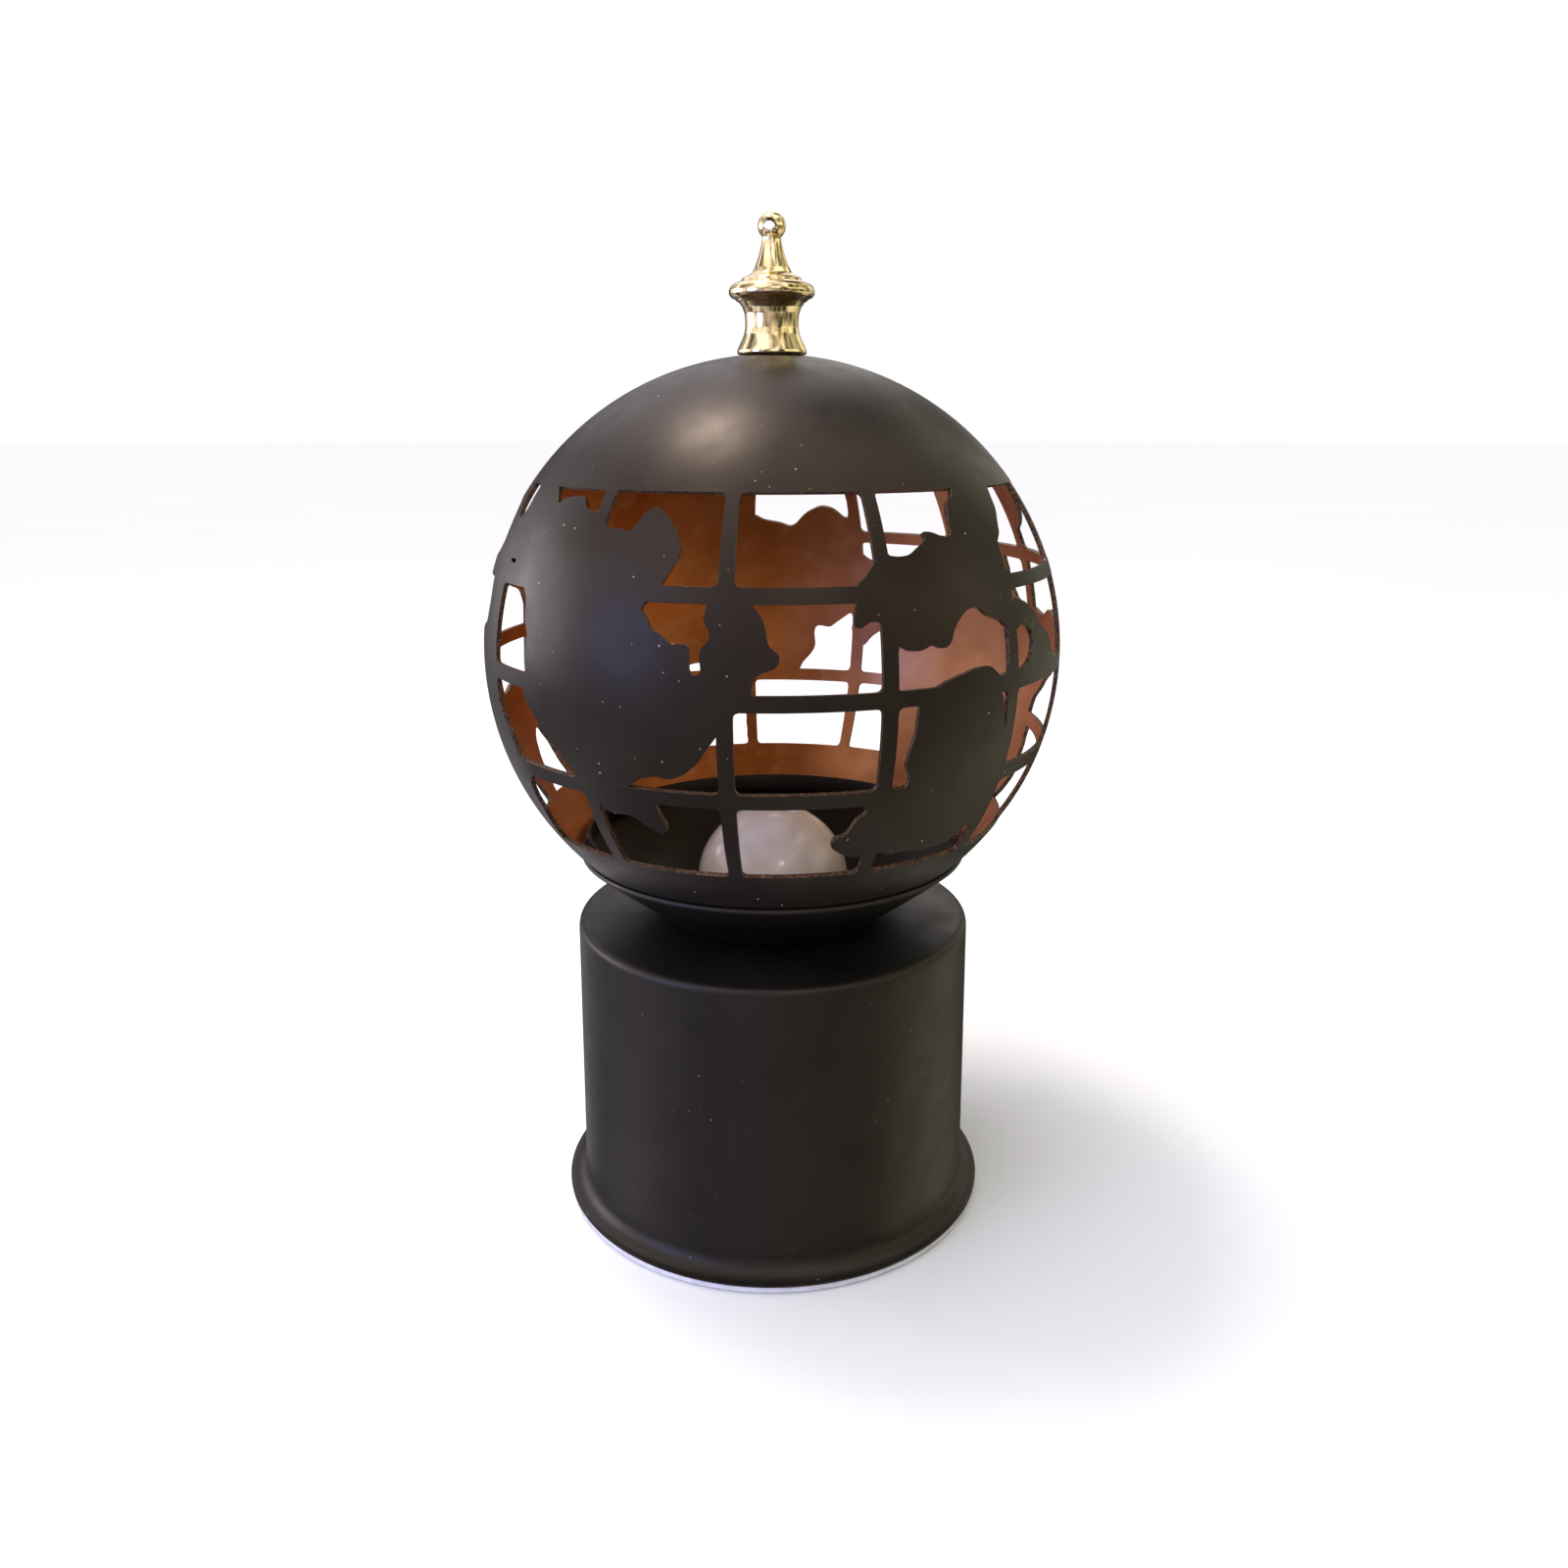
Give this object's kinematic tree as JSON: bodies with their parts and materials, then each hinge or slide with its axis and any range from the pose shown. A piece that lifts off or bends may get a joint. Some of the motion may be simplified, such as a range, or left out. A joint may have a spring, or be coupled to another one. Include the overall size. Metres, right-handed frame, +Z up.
{
  "type": "globe table lamp",
  "caption": "Cordless table lamp: a pierced sheet-metal world globe with a brass finial is the shade, resting on a dish over a round drum base with a screw-in bulb and cells.",
  "frame": {"origin": "on the surface the lamp stands on, under the axis of the drum and the globe", "axes": "+Z up along the lamp's axis; -Y is the front, the side the picture shows; +X to the right seen from the front"},
  "size_m": [0.165, 0.165, 0.2888],
  "materials": {
    "bronze_finish": "satin dark bronze outside, copper-toned inside",
    "black_finish": "satin brown-black",
    "polished_brass": "polished",
    "spring_brass": "plain",
    "zinc_steel": "zinc plated",
    "nickel_plate": "satin nickel",
    "frosted_glass": "opal, softly glossy",
    "black_plastic": "moulded",
    "white_plastic": "moulded",
    "circuit_board": "lacquered",
    "cell_jacket": "printed sleeve, plain",
    "soft_pad": "translucent, matte",
    "red_insulation": "smooth",
    "black_insulation": "smooth"
  },
  "bodies": {
    "base": {"base_plate": "black_plastic", "base_plate_screw_1": "zinc_steel", "base_plate_screw_2": "zinc_steel", "base_plate_screw_3": "zinc_steel", "bracket_rivet_1": "zinc_steel", "bracket_rivet_2": "zinc_steel", "cell_1": "cell_jacket", "cell_2": "cell_jacket", "cell_3": "cell_jacket", "cell_spring_1": "nickel_plate", "cell_spring_2": "nickel_plate", "cell_spring_3": "nickel_plate", "cell_tray": "black_plastic", "dish_screw_1": "zinc_steel", "dish_screw_2": "zinc_steel", "dish_screw_3": "zinc_steel", "driver_board": "circuit_board", "drum_shell": "black_finish", "foot_pad": "soft_pad", "lamp_wire_live": "red_insulation", "lamp_wire_return": "black_insulation", "lampholder_body": "black_plastic", "lampholder_contact": "spring_brass", "lampholder_nut": "zinc_steel", "lampholder_sleeve": "nickel_plate", "link_plate_left": "nickel_plate", "link_plate_right": "nickel_plate", "mounting_plate": "zinc_steel", "seat_dish": "black_finish", "socket_bracket": "zinc_steel", "switch_body": "black_plastic", "switch_wire_live": "red_insulation", "switch_wire_out": "black_insulation", "terminal_plate_left": "nickel_plate", "terminal_plate_right": "nickel_plate", "tie_rod_1": "zinc_steel", "tie_rod_2": "zinc_steel", "tie_rod_3": "zinc_steel"},
    "globe": {"globe_shell": "bronze_finish", "finial": "polished_brass", "finial_screw": "zinc_steel", "finial_washer": "zinc_steel"},
    "bulb_carrier": {"bulb_tip_contact": "nickel_plate", "bulb_insulator": "black_plastic"},
    "bulb": {"bulb_glass": "frosted_glass", "bulb_collar": "white_plastic", "bulb_led_board": "circuit_board", "bulb_screw_cap": "nickel_plate"},
    "door": {"cell_door": "black_plastic"},
    "knob": {"switch_knob": "white_plastic"}
  },
  "joints": [
    {"name": "globe_lift", "type": "slide", "parent": "base", "child": "globe", "axis": [0, 0, 1], "range_m": [0, 0.15]},
    {"name": "bulb_rise", "type": "slide", "parent": "base", "child": "bulb_carrier", "axis": [0, 0, 1], "range_m": [0, 0.0141]},
    {"name": "bulb_turn", "type": "hinge", "parent": "bulb_carrier", "child": "bulb", "pos_m": [0, 0, 0.05], "axis": [0, 0, 1], "range_deg": [0, 1800]},
    {"name": "door_swing", "type": "hinge", "parent": "base", "child": "door", "pos_m": [-0.027, 0, 0.0034], "axis": [0, 1, 0], "range_deg": [0, 110]},
    {"name": "switch_slide", "type": "slide", "parent": "base", "child": "knob", "axis": [1, 0, 0], "range_m": [0, 0.0048]}
  ],
  "couplings": [
    {"joint": "bulb_turn", "follows": "bulb_rise", "rad_per_m": 2228.1}
  ]
}
